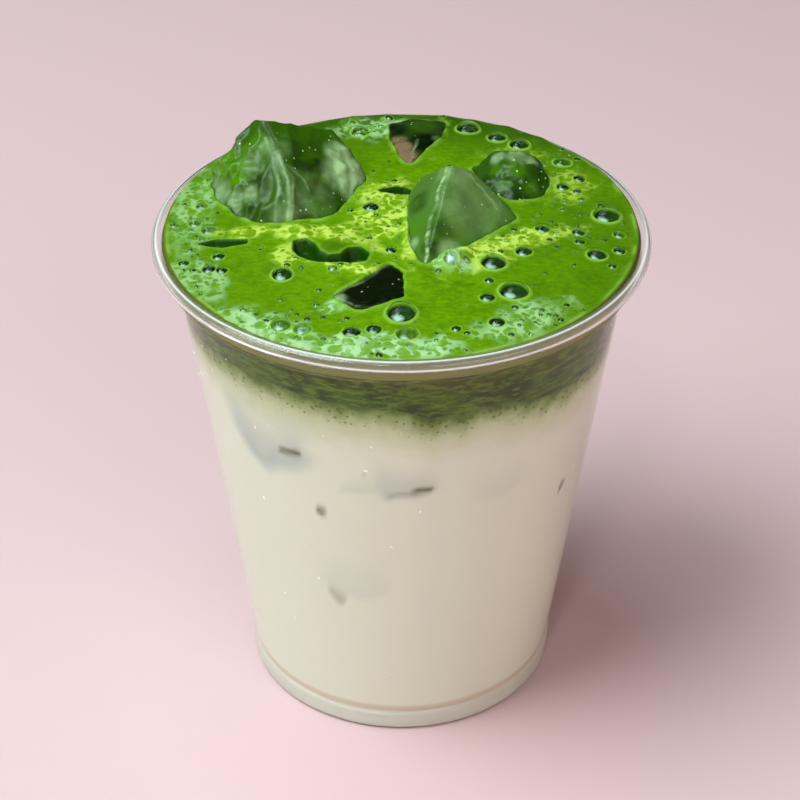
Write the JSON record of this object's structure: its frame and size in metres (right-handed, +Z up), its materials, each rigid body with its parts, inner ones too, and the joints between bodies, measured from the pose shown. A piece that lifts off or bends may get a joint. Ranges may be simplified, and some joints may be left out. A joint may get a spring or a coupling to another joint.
{
  "type": "matcha latte",
  "caption": "Iced matcha latte: milk under a dark matcha layer and green foam with ice chunks, in a clear tapered plastic cup with a rolled rim.",
  "frame": {"origin": "centre of the foot, on the surface the cup stands on", "axes": "+Z up along the cup's axis, -Y to the front; the largest ice chunk stands at the back left"},
  "size_m": [0.098, 0.098, 0.117],
  "materials": {
    "cup_plastic": "clear thermoformed plastic, glossy",
    "milk": "wet, opaque off-white milk",
    "matcha": "wet, dark olive matcha mixed with a little milk",
    "matcha_foam": "wet vivid green froth with open bubbles",
    "ice": "melting clear ice with frosty patches, tinted by the matcha"
  },
  "bodies": {
    "root": {"cup": "cup_plastic", "milk": "milk", "matcha": "matcha", "foam": "matcha_foam", "ice_left": "ice", "ice_centre": "ice", "ice_right": "ice", "ice_back": "ice", "ice_front": "ice", "ice_middle": "ice"}
  },
  "joints": []
}
